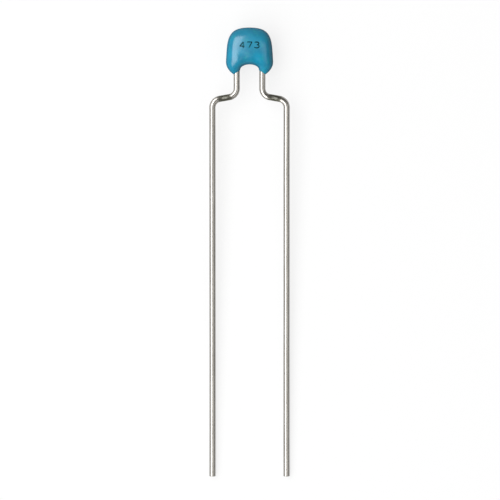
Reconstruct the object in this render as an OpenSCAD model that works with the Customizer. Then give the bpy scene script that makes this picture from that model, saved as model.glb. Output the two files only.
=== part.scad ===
// Dipped radial ceramic capacitor with crimped leads, lying on its back as it comes to rest.
// It is drawn flat first: X across the leads, Y from their tips to the top of the body, Z through the body,
// with Y = 0 where the coating ends on the leads and Z = 0 in the plane of the leads. Then it is laid down.
// All sizes are in millimetres.

/* [Coating] */
// Width of the coated body at its widest line
body_w = 3.23; // [2.6:0.01:4.4]
// Thickness of the coated body
body_t = 2.2; // [1.9:0.05:3.2]
// Height of the top of the body above the ends of the lobes
body_h = 3.19; // [2.9:0.01:4.2]
// Height of the widest line above the ends of the lobes
widest_h = 0.85; // [0.7:0.01:1.2]
// Depth of the curve under the widest line, which the lobes cut short
lobe_curve_h = 1.16; // [1.1:0.01:1.6]
// Squareness of the shoulders: 2 is an ellipse, more is squarer
shoulder_power = 4.7; // [2:0.05:6]
// How far the sides lean in from the widest line to the top, as a share of the width
side_lean = 0.07; // [0:0.005:0.15]
// How far the top falls from its middle to the sides, as a share of the height
crown_fall = 0.12; // [0:0.01:0.2]
// Squareness of the cross-section over the chip
section_power = 2.5; // [2:0.05:4]
// Height of the crown of the arch between the leads
arch_h = 0.67; // [0.5:0.01:0.8]
// Depth of the arch from its crown to its ends on the leads
arch_drop = 0.36; // [0.25:0.01:0.45]
// Thickness of the coating where it ends on a lead
skin_t = 0.03; // [0.02:0.005:0.06]
// How quickly the lobes thicken from the leads to the body: less is blunter
lobe_power = 0.8; // [0.6:0.05:1.2]

/* [Leads] */
// Diameter of the wire
wire_d = 0.42; // [0.36:0.01:0.5]
// Distance between the leads where they go through a board
lead_pitch = 5.08; // [4.5:0.01:6]
// Distance between the leads where they leave the body
exit_pitch = 1.752; // [1.5:0.002:2]
// Length of the leads below the body
lead_l = 27.54; // [10:0.01:40]
// Depth of the middle of the crimp below the body
crimp_mid = 1.62; // [1.3:0.01:3]
// Angle through which the crimp turns the wire
crimp_angle = 80; // [60:1:88]
// Radius of each bend, to the middle of the wire
bend_r = 0.6; // [0.4:0.01:0.75]
// Chamfer left by cutting the tip
tip_chamfer = 0.04; // [0.02:0.01:0.08]
// How far each straight stretch of wire reaches into a bend
bend_overlap = 0.04; // [0.02:0.01:0.05]
// How much the bending swells the wire, which keeps the straight stretches inside the bends
bend_swell = 0.002; // [0.002:0.001:0.01]

/* [Chip] */
// Height of the chip along the leads
chip_h = 1.27; // [1:0.01:1.5]
// Thickness of the ceramic
chip_t = 0.95; // [0.6:0.01:1.2]
// Thickness of the metal cap on each end of the chip
termination_t = 0.04; // [0.02:0.01:0.06]
// How far each cap wraps round the sides of the chip
termination_band = 0.3; // [0.2:0.01:0.4]
// Electrode layers that reach each end
electrode_count = 6; // [2:1:10]
// Thickness of an electrode layer
electrode_t = 0.02; // [0.01:0.005:0.03]
// Bare ceramic between an electrode and the far end of the chip
end_margin = 0.2; // [0.12:0.01:0.3]
// Bare ceramic beside the electrodes
side_margin = 0.15; // [0.1:0.01:0.25]
// Bare ceramic over the outermost electrodes
cover_t = 0.1; // [0.06:0.01:0.2]

/* [Solder] */
// Solder between a lead and the end of the chip
solder_film = 0.03; // [0.02:0.005:0.06]
// Solder round the wire
solder_coat = 0.04; // [0.02:0.005:0.06]
// Width of the solder on the end of the chip
solder_w = 0.8; // [0.6:0.01:0.9]
// Bare end of the chip above and below the solder
solder_margin = 0.08; // [0.04:0.01:0.15]

/* [Smoothness] */
// Cross-sections along the coating
section_count = 48; // [24:2:64]
// Points round each cross-section
ring_count = 36; // [24:4:48]
// Facets round a wire
wire_facets = 48; // [24:4:72]

/* [Hidden] */
wire_r = wire_d / 2;
exit_x = exit_pitch / 2;
lead_x = lead_pitch / 2;

// The chip sits between the leads, midway between the arch and the top of the body
chip_l = exit_pitch - wire_d - 2 * solder_film;
ceramic_l = chip_l - 2 * termination_t;
chip_y = (arch_h + body_h) / 2;
solder_h = chip_h - 2 * solder_margin;
wire_top = chip_y + chip_h / 2;
electrode_step = (chip_t - 2 * cover_t - electrode_t) / (2 * electrode_count - 1);

// The crimp: two equal bends with a short straight stretch between them
crimp_straight = (lead_x - exit_x - 2 * bend_r * (1 - cos(crimp_angle))) / sin(crimp_angle);
crimp_drop = 2 * bend_r * sin(crimp_angle) + crimp_straight * cos(crimp_angle);
crimp_start = crimp_mid - crimp_drop / 2;
crimp_end = crimp_mid + crimp_drop / 2;

// The coating ends on a lead along a slanting cut from the arch to the outer curve
lobe_inner_x = exit_x - wire_r - skin_t;
lobe_outer_x = exit_x + wire_r + skin_t;
lobe_depth = lobe_curve_h * sin(acos(2 * lobe_outer_x / body_w));
lobe_turn = atan2(lobe_depth, lobe_outer_x);

// At rest the back of the body and the tips of the leads touch the surface
rest_tilt = atan((body_t / 2 - wire_r) / (chip_y + lead_l - tip_chamfer));
rest_lift = (lead_l - tip_chamfer) * sin(rest_tilt) + wire_r * cos(rest_tilt);
rest_front = lead_l * cos(rest_tilt) + (wire_r - tip_chamfer) * sin(rest_tilt);
rest_shift = (rest_front - body_h * cos(rest_tilt)) / 2;

// Distance from the middle of a rounded rectangle to its edge, in one direction
function rounded_reach(angle, half_w, half_h, power) =
    pow(pow(abs(cos(angle)) / half_w, power) + pow(abs(sin(angle)) / half_h, power), -1 / power);

// A point of the outer outline above the widest line: square shoulders, leaning sides and a domed top
function upper_point(angle) =
    let(
        half_w = body_w / 2,
        half_h = body_h - widest_h,
        reach = rounded_reach(angle, half_w, half_h, shoulder_power),
        across = reach * cos(angle) / half_w,
        up = reach * sin(angle) / half_h
    )
    [half_w * across * (1 - side_lean * up), widest_h + half_h * up * (1 - crown_fall * across * across)];

// A point of the outer outline below the widest line: an ellipse
function lower_point(angle) =
    let(reach = rounded_reach(angle, body_w / 2, lobe_curve_h, 2))
    [reach * cos(angle), widest_h + reach * sin(angle)];

function outer_point(angle) = angle >= 0 && angle <= 180 ? upper_point(angle) : lower_point(angle);

// A point of the arch, half an ellipse that starts at its crown
function arch_point(angle) = [lobe_inner_x * sin(angle), arch_h - arch_drop * (1 - cos(angle))];

// One cross-section of the coating, from the right lobe (along = 0) over the top to the left lobe (along = 1)
function coating_section(along) =
    let(
        from_top = abs(2 * along - 1),
        inner = arch_point(90 * (1 - 2 * along)),
        outer = outer_point(-lobe_turn + along * (180 + 2 * lobe_turn)),
        middle = (inner + outer) / 2,
        half_span = (outer - inner) / 2,
        fullness = 1 - from_top * from_top,
        end_t = wire_r + skin_t,
        half_t = end_t + (body_t / 2 - end_t) * pow(fullness, lobe_power),
        power = 2 + (section_power - 2) * fullness
    )
    [
        for (i = [0 : ring_count - 1])
            let(
                turn = 360 * i / ring_count,
                reach = rounded_reach(turn, 1, 1, power),
                place = middle + half_span * reach * cos(turn)
            )
            [place[0], place[1], half_t * reach * sin(turn)]
    ];

// The whole outside of the coating, with nothing in it
module coating_form() {
    points = [for (s = [0 : section_count]) each coating_section(s / section_count)];
    sides = [
        for (s = [0 : section_count - 1], i = [0 : ring_count - 1])
            let(
                j = (i + 1) % ring_count,
                a = s * ring_count + i,
                b = s * ring_count + j,
                c = a + ring_count,
                d = b + ring_count
            )
            each [[a, c, b], [b, c, d]]
    ];
    first_end = [for (i = [0 : ring_count - 1]) i];
    last_end = [for (i = [ring_count - 1 : -1 : 0]) section_count * ring_count + i];
    polyhedron(points = points, faces = concat(sides, [first_end, last_end]), convexity = 6);
}

// Lays the flat part down on its back, centred on its footprint
module at_rest() {
    translate([0, rest_shift, rest_lift])
        rotate([rest_tilt, 0, 0])
            children();
}

// Turns the right-hand piece into the left-hand one
module left_side() {
    mirror([1, 0, 0])
        children();
}

// A straight stretch of wire that runs down from y_top at a distance x from the middle
module wire_run(x, y_top, run) {
    translate([x, y_top, 0])
        rotate([90, 0, 0])
            cylinder(h = run, r = wire_r, $fn = wire_facets);
}

module wire_bend(x, y, start) {
    translate([x, y, 0])
        rotate([0, 0, start])
            rotate_extrude(angle = crimp_angle, $fn = 3 * wire_facets)
                translate([bend_r, 0])
                    circle(r = wire_r + bend_swell, $fn = wire_facets);
}

// The long straight stretch that goes through a board, up from its cut tip
module pin(run) {
    translate([lead_x, -lead_l, 0])
        rotate([-90, 0, 0])
            rotate_extrude($fn = wire_facets)
                polygon([
                    [0, 0],
                    [wire_r - tip_chamfer, 0],
                    [wire_r, tip_chamfer],
                    [wire_r, run],
                    [0, run]
                ]);
}

module lead() {
    color("silver") {
        wire_run(exit_x, wire_top, wire_top + crimp_start + bend_overlap);
        wire_bend(exit_x + bend_r, -crimp_start, 180);
        translate([(exit_x + lead_x) / 2, -crimp_mid, 0])
            rotate([0, 90, crimp_angle - 90])
                cylinder(h = crimp_straight + 2 * bend_overlap, r = wire_r, center = true, $fn = wire_facets);
        wire_bend(lead_x - bend_r, -crimp_end, 0);
        pin(lead_l - crimp_end + bend_overlap);
    }
}

// The solder in plan, with the wire still in it
module solder_outline() {
    translate([exit_x, 0])
        circle(r = wire_r + solder_coat, $fn = wire_facets);
    polygon([
        [chip_l / 2, -solder_w / 2],
        [exit_x, -wire_r],
        [exit_x, wire_r],
        [chip_l / 2, solder_w / 2]
    ]);
}

module solder_form() {
    translate([0, chip_y + solder_h / 2, 0])
        rotate([90, 0, 0])
            linear_extrude(height = solder_h)
                solder_outline();
}

module solder() {
    color("lightsteelblue")
        difference() {
            solder_form();
            termination_form();
            wire_run(exit_x, wire_top, wire_top);
        }
}

module ceramic_form() {
    translate([0, chip_y, 0])
        cube([ceramic_l, chip_h, chip_t], center = true);
}

module termination_form() {
    band = termination_band + termination_t;
    translate([chip_l / 2 - band, chip_y - chip_h / 2 - termination_t, -chip_t / 2 - termination_t])
        cube([band, chip_h + 2 * termination_t, chip_t + 2 * termination_t]);
}

module termination() {
    color("gainsboro")
        difference() {
            termination_form();
            ceramic_form();
        }
}

// The electrode layers that reach the right end of the chip; first is the lowest of them
module electrode_layers(first) {
    plate_l = ceramic_l - end_margin;
    plate_h = chip_h - 2 * side_margin;
    for (i = [0 : electrode_count - 1])
        translate([
            ceramic_l / 2 - plate_l,
            chip_y - plate_h / 2,
            cover_t - chip_t / 2 + (2 * i + first) * electrode_step
        ])
            cube([plate_l, plate_h, electrode_t]);
}

module right_electrodes() {
    color("dimgray")
        electrode_layers(0);
}

module left_electrodes() {
    color("dimgray")
        left_side()
            electrode_layers(1);
}

module ceramic() {
    color("tan")
        difference() {
            ceramic_form();
            right_electrodes();
            left_electrodes();
        }
}

// What the coating is cured round
module coated_core() {
    ceramic_form();
    for (turn = [0, 1])
        mirror([turn, 0, 0]) {
            termination_form();
            solder_form();
            wire_run(exit_x, wire_top, wire_top + crimp_start);
        }
}

module coating() {
    color("steelblue")
        difference() {
            coating_form();
            coated_core();
        }
}

at_rest() {
    coating();
    left_side() lead();  // left_lead
    lead();  // right_lead
    left_side() solder();  // left_solder
    solder();  // right_solder
    left_side() termination();  // left_termination
    termination();  // right_termination
    ceramic();
    left_electrodes();
    right_electrodes();
}
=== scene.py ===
"""Dresses the dipped radial ceramic capacitor: glossy coating, tinned leads, value mark and inner pieces."""

import logging
import math
from dataclasses import dataclass, field
from enum import Enum
from typing import Any, Callable, Iterable, Sequence

import bpy
from mathutils import Matrix, Vector, noise
from mathutils.bvhtree import BVHTree

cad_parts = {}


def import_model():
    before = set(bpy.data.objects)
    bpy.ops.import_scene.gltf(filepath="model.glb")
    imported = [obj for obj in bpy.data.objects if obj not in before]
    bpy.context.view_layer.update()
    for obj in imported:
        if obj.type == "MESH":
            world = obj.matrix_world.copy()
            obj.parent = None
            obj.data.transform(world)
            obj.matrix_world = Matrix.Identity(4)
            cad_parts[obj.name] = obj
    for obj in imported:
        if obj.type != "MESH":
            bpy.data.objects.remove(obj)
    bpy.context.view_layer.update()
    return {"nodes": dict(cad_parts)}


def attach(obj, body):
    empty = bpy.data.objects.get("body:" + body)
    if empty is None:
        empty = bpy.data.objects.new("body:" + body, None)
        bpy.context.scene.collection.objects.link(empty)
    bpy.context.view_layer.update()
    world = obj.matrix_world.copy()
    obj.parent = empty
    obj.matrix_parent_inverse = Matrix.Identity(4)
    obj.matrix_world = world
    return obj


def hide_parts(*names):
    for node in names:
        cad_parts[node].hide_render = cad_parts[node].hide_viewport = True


LOG = logging.getLogger("capacitor")
MM = 0.001
BODY = "root"

# What a lead's points carry for its finish: the place along and around the wire, and the crimp's marks
LEAD_RUN = "lead_run"
LEAD_PRESS = "lead_press"
LEAD_RUB = "lead_rub"

# The colour sockets of a Mix node go by number, because its other sockets have the same names
MIX_FIRST = 6
MIX_SECOND = 7
MIX_RESULT = 2
NOISE_MID = 0.5

ELLIPSE = 2.0
UP = Vector((0.0, 0.0, 1.0))
ALONG_LEAD = Vector((0.0, -1.0, 0.0))

Pair = tuple[float, float]
Triple = tuple[float, float, float]
Colour = Triple
Step = tuple[Vector, Vector]
Station = tuple[Vector, Vector, float]


class Term:
    """A shader socket that takes part in Python arithmetic: each operator adds one Math node."""

    def __init__(self, graph: "Graph", socket: bpy.types.NodeSocket) -> None:
        """Keeps the graph that the socket belongs to."""
        self.graph = graph
        self.socket = socket

    def _math(self, operation: str, first: "Term | float", second: "Term | float") -> "Term":
        """Adds one Math node.

        Args:
            operation: The Math node's operation.
            first: Its first value.
            second: Its second value.

        Returns:
            The node's result.
        """
        return self.graph.node("ShaderNodeMath", {"operation": operation}, {0: first, 1: second})

    def __add__(self, other: "Term | float") -> "Term":
        """Sum."""
        return self._math("ADD", self, other)

    def __radd__(self, other: float) -> "Term":
        """Reflected sum."""
        return self._math("ADD", other, self)

    def __sub__(self, other: "Term | float") -> "Term":
        """Difference."""
        return self._math("SUBTRACT", self, other)

    def __rsub__(self, other: float) -> "Term":
        """Reflected difference."""
        return self._math("SUBTRACT", other, self)

    def __mul__(self, other: "Term | float") -> "Term":
        """Product."""
        return self._math("MULTIPLY", self, other)

    def __rmul__(self, other: float) -> "Term":
        """Reflected product."""
        return self._math("MULTIPLY", other, self)

    def above(self, low: float, high: float) -> "Term":
        """A smooth step.

        Args:
            low: Where the step starts.
            high: Where the step reaches 1.

        Returns:
            0 below low, 1 above high and a smooth rise between.
        """
        sockets = {"Value": self, "From Min": low, "From Max": high, "To Min": 0.0, "To Max": 1.0}
        return self.graph.node("ShaderNodeMapRange", {"interpolation_type": "SMOOTHSTEP"}, sockets)

    def highest(self, other: "Term | float") -> "Term":
        """The larger of two values."""
        return self._math("MAXIMUM", self, other)


@dataclass(frozen=True)
class Mottle:
    """An uneven pattern.

    Attributes:
        scale: How many of its features a unit of length holds.
        detail: How many finer layers are added.
        rough: How strong the finer layers are.
    """

    scale: float
    detail: float = 3.0
    rough: float = 0.55


def opaque(colour: Colour) -> tuple[float, ...]:
    """The colour with a full alpha."""
    return (*colour, 1.0)


class Graph:
    """A material's or world's node tree, filled through one factory method."""

    def __init__(self, tree: bpy.types.NodeTree) -> None:
        """Empties the tree."""
        self.tree = tree
        self.tree.nodes.clear()

    def node(self, kind: str, settings: dict[str, Any], sockets: dict[Any, Any], out: Any = 0) -> Term:
        """Adds a node.

        Args:
            kind: The node's type.
            settings: Its properties, which are set first.
            sockets: Values or links of its inputs, by name or number.
            out: The output that is wanted, by name or number.

        Returns:
            That output, or the first input of a node without outputs.
        """
        made = self.tree.nodes.new(kind)
        for name, value in settings.items():
            setattr(made, name, value)
        for key, value in sockets.items():
            if isinstance(value, Term):
                self.tree.links.new(value.socket, made.inputs[key])
            else:
                made.inputs[key].default_value = value
        return Term(self, made.outputs[out] if len(made.outputs) else made.inputs[0])

    def millimetres(self) -> Term:
        """Places on the object, in millimetres."""
        place = self.node("ShaderNodeTexCoord", {}, {}, "Object")
        return self.node("ShaderNodeVectorMath", {"operation": "SCALE"}, {0: place, "Scale": 1.0 / MM})

    def stretch(self, place: Term, factors: Triple) -> Term:
        """Places stretched by a factor along each axis."""
        return self.node("ShaderNodeVectorMath", {"operation": "MULTIPLY"}, {0: place, 1: factors})

    def distance(self, place: Term, spot: Triple) -> Term:
        """How far places are from one spot."""
        return self.node("ShaderNodeVectorMath", {"operation": "DISTANCE"}, {0: place, 1: spot}, "Value")

    def axis(self, vector: Term, name: str) -> Term:
        """One axis of a vector."""
        return self.node("ShaderNodeSeparateXYZ", {}, {0: vector}, name)

    def carried(self, name: str, out: str = "Fac") -> Term:
        """What the mesh's points carry under a name."""
        return self.node("ShaderNodeAttribute", {"attribute_name": name}, {}, out)

    def levelness(self) -> Term:
        """How level the surface lies: 1 on the part's faces and 0 on its upright sides."""
        rise = self.axis(self.node("ShaderNodeTexCoord", {}, {}, "Normal"), "Z")
        return rise * rise

    def noise(self, place: Term, mottle: Mottle) -> Term:
        """An uneven pattern's value.

        Args:
            place: Where it is read.
            mottle: The pattern.

        Returns:
            A value round NOISE_MID.
        """
        sockets = {"Vector": place, "Scale": mottle.scale, "Detail": mottle.detail, "Roughness": mottle.rough}
        return self.node("ShaderNodeTexNoise", {}, sockets, "Fac")

    def mix(self, share: Term, low: "Colour | Term", high: "Colour | Term") -> Term:
        """A blend of two colours.

        Args:
            share: How much of the second colour there is.
            low: The first colour.
            high: The second colour.

        Returns:
            The blended colour.
        """
        first, second = (c if isinstance(c, Term) else opaque(c) for c in (low, high))
        sockets = {"Factor": share, MIX_FIRST: first, MIX_SECOND: second}
        return self.node("ShaderNodeMix", {"data_type": "RGBA"}, sockets, MIX_RESULT)

    def bump(self, height: Term, depth_mm: float) -> Term:
        """Turns a height into a surface normal.

        Args:
            height: The height, from 0 to 1.
            depth_mm: What a height of 1 stands for.

        Returns:
            The normal.
        """
        return self.node("ShaderNodeBump", {}, {"Height": height, "Distance": depth_mm * MM, "Strength": 1.0})


def material_of(name: str, shade: Callable[[Graph], Term]) -> bpy.types.Material:
    """Makes a material.

    Args:
        name: The material's name.
        shade: Lays out its nodes and gives its shader.

    Returns:
        The material.
    """
    made = bpy.data.materials.new(name)
    made.use_nodes = True
    graph = Graph(made.node_tree)
    graph.node("ShaderNodeOutputMaterial", {}, {"Surface": shade(graph)})
    return made


def surface(name: str, paint: Callable[[Graph], dict[str, Any]]) -> bpy.types.Material:
    """Makes a material with one Principled shader.

    Args:
        name: The material's name.
        paint: Gives the shader's sockets, with what varies as links.

    Returns:
        The material.
    """
    return material_of(name, lambda graph: graph.node("ShaderNodeBsdfPrincipled", {}, paint(graph)))


@dataclass(frozen=True)
class EpoxyFinish:
    """Cured blue dip coating: a gloss over a clouded blue, with painted shade darkening the upright sides,
    which are also duller.

    Attributes:
        deep, pale, clouds, cloud_step: The two blues, how they cloud and where one passes into the other.
        green, tints, tint_shape, tint_step: A greener tint in patches.
        speck, specks, speck_step, speck_share: Fine darker specks.
        side, painted_shade_step: A darker blue painted on the upright sides as shade, and how level the
            surface is where the painted shade ends.
        coat_rim, coat_side, coat_face, rim_step, face_step: The gloss by how level the surface is.
        coat_roughness, coat_ior: How clear and how strong the gloss is.
        roughness, roughness_spread: How matt the blue under the gloss is.
        peel, peel_mm: The orange peel of the skin.
        handled_at, handled_step, handled_loss: One spot, in millimetres, that handling has dulled.
    """

    deep: Colour = (0.010, 0.227, 0.371)
    pale: Colour = (0.013, 0.271, 0.432)
    clouds: Mottle = Mottle(1.6, 4.0)
    cloud_step: Pair = (0.3, 0.7)
    green: Colour = (0.015, 0.299, 0.394)
    tints: Mottle = Mottle(2.3, 2.0)
    tint_shape: Triple = (1.0, 1.0, 2.0)
    tint_step: Pair = (0.5, 0.75)
    speck: Colour = (0.004, 0.150, 0.260)
    specks: Mottle = Mottle(17.0, 1.0)
    speck_step: Pair = (0.70, 0.76)
    speck_share: float = 0.5
    # Painted shade: a darker blue for the upright sides, standing in for the shade that falls there
    side: Colour = (0.003, 0.150, 0.250)
    painted_shade_step: Pair = (-0.1, 0.35)
    coat_rim: float = 0.17
    coat_side: float = 0.28
    coat_face: float = 1.0
    rim_step: Pair = (0.05, 0.3)
    face_step: Pair = (0.5, 0.8)
    coat_roughness: float = 0.255
    coat_ior: float = 1.75
    roughness: float = 0.6
    roughness_spread: float = 0.2
    peel: Mottle = Mottle(5.5, 2.0, 0.4)
    peel_mm: float = 0.002
    handled_at: Triple = (0.57, 13.23, 1.9)
    handled_step: Pair = (0.15, 0.75)
    handled_loss: float = 0.92

    def colour(self, graph: Graph, place: Term, cloud: Term, level: Term) -> Term:
        """Blends the clouds, the tint, the specks and the painted shade on the upright sides.

        Args:
            graph: The material's nodes.
            place: Places on the object, in millimetres.
            cloud: The clouds' value there.
            level: How level the surface lies there.

        Returns:
            The colour.
        """
        blue = graph.mix(cloud.above(*self.cloud_step), self.deep, self.pale)
        tint = graph.noise(graph.stretch(place, self.tint_shape), self.tints)
        blue = graph.mix(tint.above(*self.tint_step), blue, self.green)
        specks = graph.noise(place, self.specks).above(*self.speck_step)
        blue = graph.mix(specks * self.speck_share, blue, self.speck)
        # Painted shade: the upright sides are blended towards the darker blue
        return graph.mix(level.above(*self.painted_shade_step), self.side, blue)

    def gloss(self, graph: Graph, place: Term, level: Term) -> Term:
        """Works out how much gloss there is.

        Args:
            graph: The material's nodes.
            place: Places on the object, in millimetres.
            level: How level the surface lies there.

        Returns:
            The coat's weight.
        """
        coat = self.coat_rim + (self.coat_side - self.coat_rim) * level.above(*self.rim_step)
        coat = coat + (self.coat_face - self.coat_side) * level.above(*self.face_step)
        handled = 1.0 - graph.distance(place, self.handled_at).above(*self.handled_step)
        return coat * (1.0 - self.handled_loss * handled)

    def paint(self, graph: Graph) -> dict[str, Any]:
        """Lays out the coating's colour, gloss and orange peel.

        Args:
            graph: The material's nodes.

        Returns:
            The shader's sockets.
        """
        place = graph.millimetres()
        cloud = graph.noise(place, self.clouds)
        level = graph.levelness()
        return {
            "Base Color": self.colour(graph, place, cloud, level),
            "Roughness": self.roughness + self.roughness_spread * (cloud - NOISE_MID),
            "Specular IOR Level": 0.0,
            "Coat Weight": self.gloss(graph, place, level),
            "Coat Roughness": self.coat_roughness,
            "Coat IOR": self.coat_ior,
            "Normal": graph.bump(graph.noise(place, self.peel), self.peel_mm),
        }


@dataclass(frozen=True)
class TinnedFinish:
    """Bright tinned wire: fine draw lines along its run, duller patches, the crimping tool's mark and painted
    shade on its upright sides.

    Attributes:
        bright, dull, patches, patch_shape, patch_step: The tin's two tones and how its patches lie.
        side, painted_shade_step: A darker tone painted on the upright sides as shade, and how level the
            surface is where the painted shade ends.
        edge: The tint of its reflections at a grazing angle.
        pressed, rubbed, scuffs, scuff_share, rub_step: The tool's dark mark and a rubbed patch in it.
        roughness, dull_from, dull_roughness, pressed_roughness: How clear its reflections are.
        lines, line_shape, line_mm: The draw lines.
    """

    bright: Colour = (0.60, 0.573, 0.530)
    dull: Colour = (0.48, 0.455, 0.414)
    patches: Mottle = Mottle(0.9, 2.0)
    patch_shape: Triple = (0.5, 1.0, 1.0)
    patch_step: Pair = (0.35, 0.75)
    # Painted shade: a darker tone for the wire's upright sides, standing in for the shade and dark
    # reflections there
    side: Colour = (0.29, 0.277, 0.252)
    painted_shade_step: Pair = (0.05, 0.6)
    edge: Colour = (0.5, 0.5, 0.5)
    pressed: Colour = (0.10, 0.10, 0.072)
    rubbed: Colour = (0.50, 0.50, 0.43)
    scuffs: Mottle = Mottle(2.6)
    scuff_share: float = 0.7
    rub_step: Pair = (0.15, 0.6)
    roughness: float = 0.17
    dull_from: float = 0.4
    dull_roughness: float = 0.16
    pressed_roughness: float = 0.12
    lines: Mottle = Mottle(1.0, 3.0, 0.5)
    line_shape: Triple = (0.12, 4.0, 4.0)
    line_mm: float = 0.0007

    def paint(self, graph: Graph) -> dict[str, Any]:
        """Lays out the tin's colour with painted shade on its sides, its gloss and draw lines along the wire.

        Args:
            graph: The material's nodes.

        Returns:
            The shader's sockets.
        """
        run = graph.carried(LEAD_RUN, "Vector")
        press = graph.carried(LEAD_PRESS)
        patches = graph.noise(graph.stretch(run, self.patch_shape), self.patches)
        tin = graph.mix(patches.above(*self.patch_step), self.bright, self.dull)
        # Painted shade: the wire's upright sides are blended towards the darker tone
        tin = graph.mix(graph.levelness().above(*self.painted_shade_step), self.side, tin)
        rub = graph.carried(LEAD_RUB) + self.scuff_share * (graph.noise(run, self.scuffs) - NOISE_MID)
        tool_mark = graph.mix(rub.above(*self.rub_step), self.pressed, self.rubbed)
        dulled = self.dull_roughness * (patches - self.dull_from).highest(0.0)
        lines = graph.noise(graph.stretch(run, self.line_shape), self.lines)
        return {
            "Base Color": graph.mix(press, tin, tool_mark),
            "Metallic": 1.0,
            "Specular Tint": opaque(self.edge),
            "Roughness": self.roughness + dulled + self.pressed_roughness * press,
            "Normal": graph.bump(lines, self.line_mm),
        }


@dataclass(frozen=True)
class InkFinish:
    """Thin dark ink that the coating shows through in places.

    Attributes:
        ink, thin, cover, cover_step: The ink where it covers and where it is thin, and how the two lie.
        roughness, roughness_spread, specular: How matt it is.
    """

    ink: Colour = (0.003, 0.032, 0.036)
    thin: Colour = (0.008, 0.118, 0.150)
    cover: Mottle = Mottle(5.0, 3.0, 0.6)
    cover_step: Pair = (0.42, 0.60)
    roughness: float = 0.45
    roughness_spread: float = 0.2
    specular: float = 0.04

    def paint(self, graph: Graph) -> dict[str, Any]:
        """Lays out the ink's patchy cover.

        Args:
            graph: The material's nodes.

        Returns:
            The shader's sockets.
        """
        cover = graph.noise(graph.millimetres(), self.cover)
        return {
            "Base Color": graph.mix(cover.above(*self.cover_step), self.ink, self.thin),
            "Roughness": self.roughness + self.roughness_spread * cover,
            "Specular IOR Level": self.specular,
        }


@dataclass(frozen=True)
class GrainFinish:
    """A fired or plated inner piece with a fine grain.

    Attributes:
        low, high, grain, grain_step, grain_mm: The grain's two tones, how it lies and how deep it is.
        metallic, roughness, roughness_spread: Whether it is metal, and how matt.
    """

    low: Colour
    high: Colour
    metallic: float
    roughness: float
    grain: Mottle = Mottle(14.0, 4.0)
    grain_step: Pair = (0.3, 0.7)
    grain_mm: float = 0.003
    roughness_spread: float = 0.2

    def paint(self, graph: Graph) -> dict[str, Any]:
        """Lays out the grain's colour, roughness and relief.

        Args:
            graph: The material's nodes.

        Returns:
            The shader's sockets.
        """
        grain = graph.noise(graph.millimetres(), self.grain)
        return {
            "Base Color": graph.mix(grain.above(*self.grain_step), self.low, self.high),
            "Metallic": self.metallic,
            "Roughness": self.roughness + self.roughness_spread * (grain - NOISE_MID),
            "Normal": graph.bump(grain, self.grain_mm),
        }


class InnerPiece(Enum):
    """The finish of each kind of inner piece."""

    CERAMIC = GrainFinish(
        low=(0.36, 0.24, 0.15), high=(0.47, 0.34, 0.23), metallic=0.0, roughness=0.75
    )
    TERMINATION = GrainFinish(
        low=(0.60, 0.59, 0.57), high=(0.72, 0.71, 0.69), metallic=1.0, roughness=0.42
    )
    SOLDER = GrainFinish(
        low=(0.46, 0.46, 0.47), high=(0.60, 0.60, 0.62), metallic=1.0, roughness=0.36, grain=Mottle(6.0, 4.0)
    )
    ELECTRODE = GrainFinish(
        low=(0.33, 0.32, 0.30), high=(0.45, 0.44, 0.42), metallic=1.0, roughness=0.55, grain=Mottle(20.0, 4.0)
    )


INNER_NODES: dict[str, InnerPiece] = {
    "ceramic": InnerPiece.CERAMIC,
    "left_termination": InnerPiece.TERMINATION,
    "right_termination": InnerPiece.TERMINATION,
    "left_solder": InnerPiece.SOLDER,
    "right_solder": InnerPiece.SOLDER,
    "left_electrodes": InnerPiece.ELECTRODE,
    "right_electrodes": InnerPiece.ELECTRODE,
}


def make_mesh(
    name: str, points: Sequence[Sequence[float]], faces: Iterable[Sequence[int]], smooth: bool = True
) -> bpy.types.Object:
    """Makes a mesh object from points in the row frame.

    Args:
        name: The piece's name.
        points: Its points, in metres.
        faces: Its faces, as numbers of points.
        smooth: Whether its faces are shaded as one smooth skin.

    Returns:
        The object, linked into the scene.
    """
    mesh = bpy.data.meshes.new(name)
    mesh.from_pydata([tuple(p) for p in points], [], [tuple(f) for f in faces])
    mesh.validate()
    mesh.polygons.foreach_set("use_smooth", [smooth] * len(mesh.polygons))
    made = bpy.data.objects.new(name, mesh)
    bpy.context.scene.collection.objects.link(made)
    return made


def dress(piece: bpy.types.Object, material: bpy.types.Material, slot: str, *nodes: str) -> None:
    """Gives a new piece its finish and its body, and hides the solids that it replaces.

    Args:
        piece: The piece.
        material: Its finish.
        slot: A material slot's name; not used.
        nodes: The solids that it replaces.
    """
    piece.data.materials.append(material)
    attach(piece, BODY)
    if nodes:
        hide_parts(*nodes)
    LOG.info("%s: %d faces", piece.name, len(piece.data.polygons))


def ring_faces(rings: int, around: int) -> list[tuple[int, ...]]:
    """Faces of a tube of rings with both ends closed.

    Args:
        rings: How many rings there are.
        around: How many points each ring has.

    Returns:
        The faces, as numbers of points counted ring by ring.
    """
    faces: list[tuple[int, ...]] = []
    for r in range(rings - 1):
        for i in range(around):
            j = (i + 1) % around
            faces.append((r * around + i, r * around + j, (r + 1) * around + j, (r + 1) * around + i))
    faces.append(tuple(range(around - 1, -1, -1)))
    faces.append(tuple((rings - 1) * around + i for i in range(around)))
    return faces


def rounded_reach(turn: float, half_w: float, half_h: float, power: float) -> float:
    """Distance from the middle of a rounded rectangle to its edge.

    Args:
        turn: The direction, in radians.
        half_w: Half of its width.
        half_h: Half of its height.
        power: Its squareness, where ELLIPSE is an ellipse.

    Returns:
        The distance.
    """
    across = abs(math.cos(turn) / half_w) ** power
    up = abs(math.sin(turn) / half_h) ** power
    return (across + up) ** (-1.0 / power)


def ramp(value: float, low: float, high: float) -> float:
    """A straight rise from 0 at low to 1 at high, level outside them."""
    return min(max((value - low) / (high - low), 0.0), 1.0)


def polar(turn: float) -> Vector:
    """The way at an angle from +X, in the plane of the flat part."""
    return Vector((math.cos(turn), math.sin(turn), 0.0))


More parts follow.
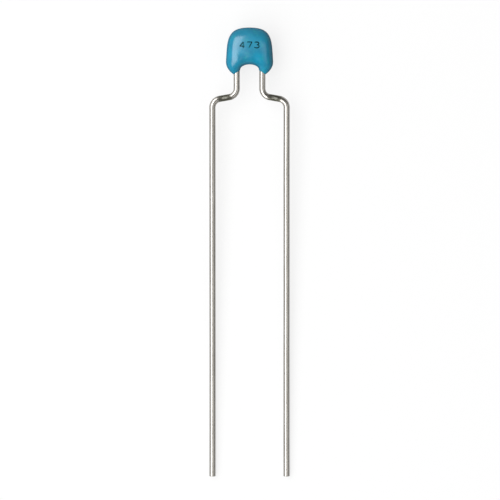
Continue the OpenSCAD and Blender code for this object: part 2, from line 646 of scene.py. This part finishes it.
@dataclass
class Sizes:
    """Sizes that more than one piece shares, in millimetres, as the part is drawn flat.

    Attributes:
        body_w, body_t, body_h: Width and thickness of the coating, and its height over the lobes' ends.
        arch_h: Height of the arch's crown.
        wire_r: Radius of the wire.
        exit_x, lead_x: How far from the middle a lead leaves the coating, and runs below its crimp.
        lead_l: Length of a lead below the lobes' ends.
        chip_h: Height of the chip inside.
        tip_chamfer: Size of the worn edge of a cut tip.
        laid: How the flat part lies at rest, in metres.
    """

    body_w: float = 3.23
    body_t: float = 2.2
    body_h: float = 3.19
    arch_h: float = 0.67
    wire_r: float = 0.21
    exit_x: float = 0.876
    lead_x: float = 2.54
    lead_l: float = 27.54
    chip_h: float = 1.27
    tip_chamfer: float = 0.04
    laid: Matrix = field(init=False)

    def __post_init__(self) -> None:
        """Works out how the flat part lies at rest, on its back and its lead tips."""
        tip = self.lead_l - self.tip_chamfer
        tilt = math.atan((self.body_t / 2 - self.wire_r) / (self.chip_y + tip))
        lift = tip * math.sin(tilt) + self.wire_r * math.cos(tilt)
        front = self.lead_l * math.cos(tilt) + (self.wire_r - self.tip_chamfer) * math.sin(tilt)
        shift = (front - self.body_h * math.cos(tilt)) / 2
        moved = Matrix.Translation((0.0, shift, lift))
        self.laid = Matrix.Scale(MM, 4) @ moved @ Matrix.Rotation(tilt, 4, "X")

    @property
    def chip_y(self) -> float:
        """Height of the chip's middle."""
        return (self.arch_h + self.body_h) / 2

    def lay(self, points: Iterable[Sequence[float]]) -> list[Vector]:
        """Lays flat points down in the row frame, in metres."""
        return [self.laid @ Vector(p) for p in points]


@dataclass
class Coating:
    """The dipped coating: cross-sections swept from one lobe over the top to the other.

    Attributes:
        sizes: The shared sizes.
        widest_h: Height of the widest line.
        lobe_curve_h: Half of the height of the ellipse below that line.
        shoulder_power: Squareness of the shoulders.
        side_lean, crown_fall: How much narrower the top is, and how much lower at its corners, as shares.
        section_power: Squareness of the fullest cross-section.
        arch_drop: How far the arch falls from its crown to the leads.
        skin_t: Thickness of the skin round a lead.
        lobe_power: How slowly the thickness grows from a lobe's end.
        sections, around, lip_rings: How many cross-sections, points in each and rings a lip has.
        ripple_mm, ripples_a_mm: Depth and number of the skin's faint ripples.
        ripple_facing, ripple_height: Between which ways of facing, and heights, the ripples set in.
    """

    sizes: Sizes
    widest_h: float = 0.85
    lobe_curve_h: float = 1.16
    shoulder_power: float = 4.7
    side_lean: float = 0.07
    crown_fall: float = 0.12
    section_power: float = 2.5
    arch_drop: float = 0.36
    skin_t: float = 0.03
    lobe_power: float = 0.8
    sections: int = 220
    around: int = 120
    lip_rings: int = 5
    ripple_mm: float = 0.006
    ripples_a_mm: float = 1.1
    ripple_facing: Pair = (-0.25, 0.25)
    ripple_height: Pair = (0.0, 0.5)

    @property
    def end_t(self) -> float:
        """Half of the thickness where the coating ends on a lead."""
        return self.sizes.wire_r + self.skin_t

    @property
    def lobe_turn(self) -> float:
        """How far below the widest line the outer outline ends, as an angle."""
        outer_x = self.sizes.exit_x + self.end_t
        depth = self.lobe_curve_h * math.sin(math.acos(2 * outer_x / self.sizes.body_w))
        return math.atan2(depth, outer_x)

    def outer_point(self, turn: float) -> Vector:
        """A point of the outer outline.

        Args:
            turn: Its direction from the middle of the widest line.

        Returns:
            The point.
        """
        above = 0.0 <= turn <= math.pi
        half_w = self.sizes.body_w / 2
        half_h = self.sizes.body_h - self.widest_h if above else self.lobe_curve_h
        reach = rounded_reach(turn, half_w, half_h, self.shoulder_power if above else ELLIPSE)
        across = reach * math.cos(turn) / half_w
        up = reach * math.sin(turn) / half_h
        lean = self.side_lean * up if above else 0.0
        fall = self.crown_fall * across ** 2 if above else 0.0
        return Vector((half_w * across * (1 - lean), self.widest_h + half_h * up * (1 - fall), 0.0))

    def arch_point(self, turn: float) -> Vector:
        """A point of the arch between the leads.

        Args:
            turn: Its direction from the crown.

        Returns:
            The point.
        """
        half_w = self.sizes.exit_x - self.end_t
        height = self.sizes.arch_h - self.arch_drop * (1 - math.cos(turn))
        return Vector((half_w * math.sin(turn), height, 0.0))

    def section(self, along: float) -> list[Vector]:
        """One cross-section.

        Args:
            along: 0 at the right lobe's end and 1 at the left lobe's.

        Returns:
            Its points, flat.
        """
        fullness = max(1 - (2 * along - 1) ** 2, 0.0)
        inner = self.arch_point(math.pi / 2 * (1 - 2 * along))
        outer = self.outer_point(-self.lobe_turn + along * (math.pi + 2 * self.lobe_turn))
        middle = (inner + outer) / 2
        half_span = (outer - inner) / 2
        half_t = self.end_t + (self.sizes.body_t / 2 - self.end_t) * fullness ** self.lobe_power
        power = ELLIPSE + (self.section_power - ELLIPSE) * fullness
        points = []
        for i in range(self.around):
            turn = -2 * math.pi * i / self.around
            reach = rounded_reach(turn, 1.0, 1.0, power)
            place = middle + half_span * reach * math.cos(turn)
            points.append(place + UP * half_t * reach * math.sin(turn))
        return points

    def lip(self, ring: list[Vector], step: int) -> list[Vector]:
        """One ring of the rounded lip where the coating thins out on a lead.

        Args:
            ring: The last full cross-section.
            step: How far out the ring lies, from 1 to lip_rings.

        Returns:
            The ring's points, flat.
        """
        turn = math.pi / 2 * step / self.lip_rings
        middle = sum(ring, Vector()) / len(ring)
        shrink = 1 - (1 - math.cos(turn)) * self.skin_t / self.end_t
        drop = ALONG_LEAD * self.skin_t * math.sin(turn)
        return [middle + (p - middle) * shrink + drop for p in ring]

    def ripple(self, point: Vector) -> Vector:
        """Moves a point inwards by the faint unevenness of a dipped skin, which spares the back it lies on.

        Args:
            point: A flat point.

        Returns:
            The moved point.
        """
        away = (point - Vector((0.0, self.sizes.chip_y, 0.0))).normalized()
        share = ramp(away.z, *self.ripple_facing) * ramp(point.y, *self.ripple_height)
        depth = (1 + noise.noise(point * self.ripples_a_mm)) / 2
        return point - away * depth * self.ripple_mm * share

    def build(self) -> bpy.types.Object:
        """Builds the coating's skin.

        Returns:
            The piece.
        """
        rings = []
        for s in range(self.sections + 1):
            rings.append(self.section((1 - math.cos(math.pi * s / self.sections)) / 2))
        first = [self.lip(rings[0], k) for k in range(self.lip_rings, 0, -1)]
        last = [self.lip(rings[-1], k) for k in range(1, self.lip_rings + 1)]
        rings = first + rings + last
        points = [self.ripple(p) for ring in rings for p in ring]
        piece = make_mesh("Coating", self.sizes.lay(points), ring_faces(len(rings), self.around))
        dress(piece, surface("Blue epoxy", EpoxyFinish().paint), "coating", "coating")
        return piece


class Side(Enum):
    """Which side of the part a lead is on."""

    LEFT = -1
    RIGHT = 1


@dataclass
class Lead:
    """One tinned wire, from the chip through the crimp to its cut tip.

    Attributes:
        sizes: The shared sizes.
        side: The side that it is on.
        crimp_mid: How far below the lobes' ends the crimp's middle lies.
        crimp_angle: How far the crimp turns the wire.
        bend_r: Radius of the wire's middle in a bend.
        around, bend_rings, tip_rings: How many points a ring, and rings a bend and the tip's edge have.
        straight_step: The longest step along a straight stretch.
        sway_mm, sway_rate: Size and pace of the wire's faint waviness.
        sway_seed, sway_layer: Where the noise is read for each side, and for up and down.
        sway_from_crimp, sway_from_tip: Over which lengths below the crimp and above the tip it sets in.
        press_half, press_power, press_mm, press_facing: Half length, ends, depth and sides of the flats.
        rub_half: Half length and half width of the patch rubbed bright.
        run_offset: Keeps the two leads' patterns apart.
    """

    sizes: Sizes
    side: Side
    crimp_mid: float = 1.62
    crimp_angle: float = math.radians(80.0)
    bend_r: float = 0.6
    around: int = 40
    bend_rings: int = 28
    tip_rings: int = 6
    straight_step: float = 0.6
    sway_mm: float = 0.010
    sway_rate: float = 0.23
    sway_seed: float = 7.3
    sway_layer: float = 9.0
    sway_from_crimp: Pair = (2.5, 5.5)
    sway_from_tip: Pair = (0.0, 3.0)
    press_half: float = 0.52
    press_power: int = 4
    press_mm: float = 0.014
    press_facing: Pair = (0.8, 1.0)
    rub_half: Pair = (0.34, 0.5)
    run_offset: float = 40.0

    @property
    def crimp_straight(self) -> float:
        """Length of the straight stretch inside the crimp."""
        across = self.sizes.lead_x - self.sizes.exit_x
        return (across - 2 * self.bend_r * (1 - math.cos(self.crimp_angle))) / math.sin(self.crimp_angle)

    @property
    def crimp_drop(self) -> float:
        """Height of the crimp."""
        return 2 * self.bend_r * math.sin(self.crimp_angle) + self.crimp_straight * math.cos(self.crimp_angle)

    def straight(self, start: Vector, end: Vector) -> list[Step]:
        """A straight stretch of the wire's middle.

        Args:
            start: Where it starts.
            end: Where it ends.

        Returns:
            Points with the way that the wire runs there, without the last.
        """
        count = max(2, math.ceil((end - start).length / self.straight_step))
        way = (end - start).normalized()
        return [(start.lerp(end, k / count), way) for k in range(count)]

    def bend(self, centre: Vector, first: float, last: float) -> list[Step]:
        """A bend of the wire's middle.

        Args:
            centre: What it turns round.
            first: The angle at which it starts.
            last: The angle at which it ends.

        Returns:
            Points with the way that the wire runs there, without the last.
        """
        sense = 1 if last > first else -1
        steps = []
        for k in range(self.bend_rings):
            spoke = polar(first + (last - first) * k / self.bend_rings)
            steps.append((centre + spoke * self.bend_r, UP.cross(spoke) * sense))
        return steps

    def route(self) -> list[Step]:
        """The middle of the wire from its top to its tip, on the right-hand side.

        Returns:
            Points with the way that the wire runs there.
        """
        exit_x, lead_x = self.sizes.exit_x, self.sizes.lead_x
        top = Vector((exit_x, self.sizes.chip_y + self.sizes.chip_h / 2, 0.0))
        above = Vector((exit_x, -self.crimp_mid + self.crimp_drop / 2, 0.0))
        below = Vector((lead_x, -self.crimp_mid - self.crimp_drop / 2, 0.0))
        tip = Vector((lead_x, -self.sizes.lead_l + self.sizes.tip_chamfer, 0.0))
        reach = Vector((self.bend_r, 0.0, 0.0))
        upper = above + reach
        lower = below - reach
        turned = math.pi + self.crimp_angle
        leaves = upper + polar(turned) * self.bend_r
        joins = lower + polar(self.crimp_angle) * self.bend_r
        return [
            *self.straight(top, above),
            *self.bend(upper, math.pi, turned),
            *self.straight(leaves, joins),
            *self.bend(lower, self.crimp_angle, 0.0),
            *self.straight(below, tip),
            (tip, ALONG_LEAD),
        ]

    def rings(self) -> list[Station]:
        """The wire's rings, down to the worn edge of its cut tip.

        Returns:
            Middles, the way that the wire runs there and its radius.
        """
        wire_r, chamfer = self.sizes.wire_r, self.sizes.tip_chamfer
        rings = [(centre, way, wire_r) for centre, way in self.route()]
        tip = rings[-1][0]
        for k in range(1, self.tip_rings + 1):
            turn = math.pi / 2 * k / self.tip_rings
            centre = tip + ALONG_LEAD * chamfer * math.sin(turn)
            rings.append((centre, ALONG_LEAD, wire_r - chamfer * (1 - math.cos(turn))))
        return rings

    def sway(self, point: Vector) -> Vector:
        """Moves a point by the faint waviness of a handled wire, none where it is held or touches down.

        Args:
            point: A point of the wire's middle.

        Returns:
            The moved point.
        """
        along, seed = point.y * self.sway_rate, self.sway_seed * self.side.value
        across = noise.noise(Vector((along, seed, 0.0)))
        up = noise.noise(Vector((along, seed, self.sway_layer)))
        share = ramp(-point.y, *self.sway_from_crimp) * ramp(point.y + self.sizes.lead_l, *self.sway_from_tip)
        return point + Vector((across - 1, 0.0, up)) / 2 * self.sway_mm * share

    def build(self) -> bpy.types.Object:
        """Builds the wire, with the crimping tool's faint flats and what its finish reads.

        Returns:
            The piece.
        """
        sign = self.side.value
        crimp = Vector(((self.sizes.exit_x + self.sizes.lead_x) / 2, -self.crimp_mid, 0.0))
        points: list[Vector] = []
        runs: list[float] = []
        presses: list[float] = []
        rubs: list[float] = []
        rings = self.rings()
        travelled, last = self.run_offset * sign, rings[0][0]
        for centre, way, radius in rings:
            travelled += (centre - last).length
            last = centre
            across = way.cross(UP)
            moved = self.sway(centre)
            from_crimp = (centre - crimp).length
            near = max(1 - (from_crimp / self.press_half) ** self.press_power, 0.0)
            for i in range(self.around):
                turn = 2 * math.pi * i / self.around
                aside, rise = math.cos(turn), math.sin(turn)
                flat = self.press_mm * near * ramp(abs(rise), *self.press_facing)
                point = moved + (across * aside + UP * rise) * (radius - flat)
                points.append(Vector((point.x * sign, point.y, point.z)))
                runs.extend((travelled, aside, rise))
                presses.append(near)
                off = (from_crimp / self.rub_half[0]) ** 2 + (aside / self.rub_half[1]) ** 2
                rubs.append(max(1 - off, 0.0))
        faces = ring_faces(len(rings), self.around)
        if self.side is Side.RIGHT:
            faces = [tuple(reversed(f)) for f in faces]
        name = self.side.name.capitalize() + "_lead"
        piece = make_mesh(name, self.sizes.lay(points), faces)
        piece.data.attributes.new(LEAD_RUN, "FLOAT_VECTOR", "POINT").data.foreach_set("vector", runs)
        piece.data.attributes.new(LEAD_PRESS, "FLOAT", "POINT").data.foreach_set("value", presses)
        piece.data.attributes.new(LEAD_RUB, "FLOAT", "POINT").data.foreach_set("value", rubs)
        material = surface(f"Tinned wire {self.side.name.lower()}", TinnedFinish().paint)
        dress(piece, material, "lead", name.lower())
        return piece


@dataclass
class ValueMark:
    """Plain digits in thin ink on the front of the coating.

    Attributes:
        sizes: The shared sizes.
        skin: The coating that it lies on.
        digits: What it says.
        middle: Where its middle lies.
        digit_w, digit_h, pitch: Size of a digit, and the way from one to the next.
        half_stroke, end_share: Half of a stroke's width, and the share of it that is left at an end.
        step, bowl_steps: Length of a step along a stroke, and steps in a bowl.
        ink_t: How far the film reaches above and below the skin.
        over: A height over the whole part.
    """

    sizes: Sizes
    skin: bpy.types.Object
    digits: str = "473"
    middle: Pair = (0.0, 1.97)
    digit_w: float = 0.33
    digit_h: float = 0.40
    pitch: float = 0.50
    half_stroke: float = 0.040
    end_share: float = 0.2
    step: float = 0.016
    bowl_steps: int = 24
    ink_t: float = 0.002
    over: float = 9.0

    def bowl(self, centre: Pair, radii: Pair, first: float, last: float) -> list[Pair]:
        """Part of an ellipse.

        Args:
            centre: Its middle.
            radii: Half of its width and half of its height.
            first: The angle at which it starts, in degrees.
            last: The angle at which it ends.

        Returns:
            Its points.
        """
        points = []
        for k in range(self.bowl_steps + 1):
            turn = math.radians(first + (last - first) * k / self.bowl_steps)
            points.append((centre[0] + radii[0] * math.cos(turn), centre[1] + radii[1] * math.sin(turn)))
        return points

    def stroke(self, digit: str) -> list[Pair]:
        """The pen stroke of a digit in a box one unit wide and high.

        Args:
            digit: The digit.

        Returns:
            The stroke's corner points.
        """
        upper = self.bowl((0.45, 0.76), (0.45, 0.24), 160, -80)
        lower = self.bowl((0.45, 0.27), (0.52, 0.27), 80, -160)
        shapes: dict[str, list[Pair]] = {
            "4": [(0.72, 0.0), (0.72, 1.0), (0.0, 0.3), (1.0, 0.3)],
            "7": [(0.0, 1.0), (1.0, 1.0), (0.36, 0.0)],
            "3": upper + lower,
        }
        return shapes[digit]

    def outline(self, line: list[Pair]) -> list[Station]:
        """Walks along a stroke in even steps, with its ends rounded.

        Args:
            line: The stroke's corner points.

        Returns:
            Places, the way across the stroke and half its width there.
        """
        corners = [Vector((*p, 0.0)) for p in line]
        walked: list[Step] = []
        for a, b in zip(corners, corners[1:]):
            count = max(1, round((b - a).length / self.step))
            way = (b - a).normalized()
            walked.extend((a.lerp(b, k / count), way) for k in range(count))
        walked.append((corners[-1], walked[-1][1]))
        total = len(walked) - 1
        made = []
        for k, (place, way) in enumerate(walked):
            short = max(1 - min(k, total - k) * self.step / self.half_stroke, 0.0)
            width = self.half_stroke * math.sqrt(max(1 - short ** 2, self.end_share ** 2))
            made.append((place, UP.cross(way), width))
        return made

    def build(self) -> bpy.types.Object:
        """Builds the ink as a thin film that follows the coating's front.

        Returns:
            The piece.
        """
        unlaid = self.sizes.laid.inverted()
        mesh = self.skin.data
        corners = [unlaid @ v.co for v in mesh.vertices]
        tree = BVHTree.FromPolygons(corners, [tuple(p.vertices) for p in mesh.polygons])
        points: list[Vector] = []
        faces: list[tuple[int, ...]] = []
        left = self.middle[0] - self.pitch * (len(self.digits) - 1) / 2 - self.digit_w / 2
        base = self.middle[1] - self.digit_h / 2
        lift = UP * self.ink_t
        for n, digit in enumerate(self.digits):
            start_x = left + n * self.pitch
            line = [(start_x + x * self.digit_w, base + y * self.digit_h) for x, y in self.stroke(digit)]
            start, walked = len(points), self.outline(line)
            for place, across, width in walked:
                edges = (place + across * width, place - across * width)
                one, other = (tree.ray_cast(edge + UP * self.over, -UP)[0] for edge in edges)
                points.extend((one + lift, other + lift, other - lift, one - lift))
            faces.extend(tuple(start + i for i in face) for face in ring_faces(len(walked), 4))
        piece = make_mesh("Value_mark", self.sizes.lay(points), faces, smooth=False)
        dress(piece, surface("Dark ink", InkFinish().paint), "coating")
        return piece


@dataclass(frozen=True)
class Softbox:
    """A soft light over the part.

    Attributes:
        name: Its name.
        lean: How far it leans from straight above towards +X, in degrees.
        width, length: Its size across the leads and along them, in metres.
        radiance: How bright its face is.
    """

    name: str
    lean: float
    width: float
    length: float
    radiance: float


@dataclass
class Studio:
    """The pale floor, the soft lights and the camera over the part.

    Attributes:
        sizes: The shared sizes.
        field_mm, aim_mm: Width of the picture at the part, and the flat part's point in its middle.
        lens_mm, sensor_mm, clip: The camera's lens and film, and its view's ends by its distance.
        floor_m, floor_albedo, floor_fill: The floor's width, its grey and its glow up to white.
        wall_level, ceiling_level, wall_top: The room's brightness, and how high its walls reach.
        right_dim, right_step: How much dimmer the room is on the right, and from where.
        lights, lights_off, lights_y: The soft lights, their distance and place along the leads, in metres.
    """

    sizes: Sizes
    field_mm: float = 34.22
    aim_mm: Pair = (0.031, -12.015)
    lens_mm: float = 250.0
    sensor_mm: float = 36.0
    clip: Pair = (0.01, 100.0)
    floor_m: float = 6.0
    floor_albedo: float = 0.18
    floor_fill: float = 0.80
    wall_level: float = 0.55
    ceiling_level: float = 0.2
    wall_top: Pair = (0.1, 0.6)
    right_dim: float = 0.5
    right_step: Pair = (0.1, 0.8)
    lights: tuple[Softbox, ...] = (
        Softbox("Key", -34.0, 0.29, 0.90, 2.98),
        Softbox("Fill", 33.0, 0.24, 0.45, 0.72),
    )
    lights_off: float = 0.34
    lights_y: float = -0.12

    def shade_floor(self, graph: Graph) -> Term:
        """Lays out a matt grey that glows up to white for the camera and in gloss.

        Args:
            graph: The material's nodes.

        Returns:
            The shader.
        """
        matt = graph.node("ShaderNodeBsdfDiffuse", {}, {"Color": opaque((self.floor_albedo,) * 3)})
        seen = graph.node("ShaderNodeLightPath", {}, {}, "Is Camera Ray")
        seen = seen + graph.node("ShaderNodeLightPath", {}, {}, "Is Glossy Ray")
        seen = seen + graph.node("ShaderNodeLightPath", {}, {}, "Is Transmission Ray")
        glow = graph.node("ShaderNodeEmission", {}, {"Strength": seen.above(0.0, 1.0) * self.floor_fill})
        return graph.node("ShaderNodeAddShader", {}, {0: matt, 1: glow})

    def floor(self) -> None:
        """Lays the floor, which keeps the part's shadow."""
        half = self.floor_m / 2
        corners = [(-half, -half, 0), (half, -half, 0), (half, half, 0), (-half, half, 0)]
        piece = make_mesh("Floor", corners, [(0, 1, 2, 3)])
        piece.data.materials.append(material_of("Pale floor", self.shade_floor))

    def world(self) -> None:
        """Sets the soft light of the room, whose walls are paler than its ceiling and dimmer on the right."""
        made = bpy.data.worlds.new("Room")
        made.use_nodes = True
        graph = Graph(made.node_tree)
        way = graph.node("ShaderNodeTexCoord", {}, {}, "Generated")
        overhead = graph.axis(way, "Z").above(*self.wall_top)
        level = self.wall_level + (self.ceiling_level - self.wall_level) * overhead
        level = level * (1.0 - self.right_dim * graph.axis(way, "X").above(*self.right_step))
        room = graph.node("ShaderNodeBackground", {}, {"Strength": level})
        graph.node("ShaderNodeOutputWorld", {}, {"Surface": room})
        bpy.context.scene.world = made

    def hang(self, softbox: Softbox) -> None:
        """Hangs a soft light over the part.

        Args:
            softbox: The light.
        """
        light = bpy.data.lights.new(softbox.name, "AREA")
        light.shape = "RECTANGLE"
        light.size = softbox.width
        light.size_y = softbox.length
        light.energy = softbox.radiance * math.pi * softbox.width * softbox.length
        made = bpy.data.objects.new(softbox.name, light)
        turn = math.radians(softbox.lean)
        made.location = (self.lights_off * math.sin(turn), self.lights_y, self.lights_off * math.cos(turn))
        made.rotation_euler = (0.0, turn, 0.0)
        bpy.context.scene.collection.objects.link(made)

    def camera(self) -> None:
        """Hangs the camera straight over the part, with the body at the top of the picture."""
        data = bpy.data.cameras.new("Camera")
        data.lens = self.lens_mm
        data.sensor_width = self.sensor_mm
        distance = self.field_mm * MM * self.lens_mm / self.sensor_mm
        data.clip_start, data.clip_end = (distance * share for share in self.clip)
        made = bpy.data.objects.new("Camera", data)
        made.location = self.sizes.laid @ Vector((*self.aim_mm, 0.0)) + UP * distance
        bpy.context.scene.collection.objects.link(made)
        bpy.context.scene.camera = made

    def build(self) -> None:
        """Sets the whole studio up."""
        self.floor()
        self.world()
        for softbox in self.lights:
            self.hang(softbox)
        self.camera()
        bpy.context.scene.view_settings.view_transform = "Standard"


def dress_inner_pieces(nodes: dict[str, bpy.types.Object]) -> None:
    """Gives the sealed inner solids their finishes.

    Args:
        nodes: The solids by name.
    """
    made = {kind: surface(kind.name.capitalize(), kind.value.paint) for kind in InnerPiece}
    for name, kind in INNER_NODES.items():
        nodes[name].data.materials.clear()
        nodes[name].data.materials.append(made[kind])
        LOG.info("%s: %s", name, kind.name.lower())


def main() -> None:
    """Builds the pieces in order."""
    logging.basicConfig(level=logging.INFO, format="%(name)s: %(message)s")
    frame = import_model()
    sizes = Sizes()
    skin = Coating(sizes).build()
    for side in Side:
        Lead(sizes, side).build()
    ValueMark(sizes, skin).build()
    dress_inner_pieces(frame["nodes"])
    Studio(sizes).build()


if __name__ == "__main__":
    main()
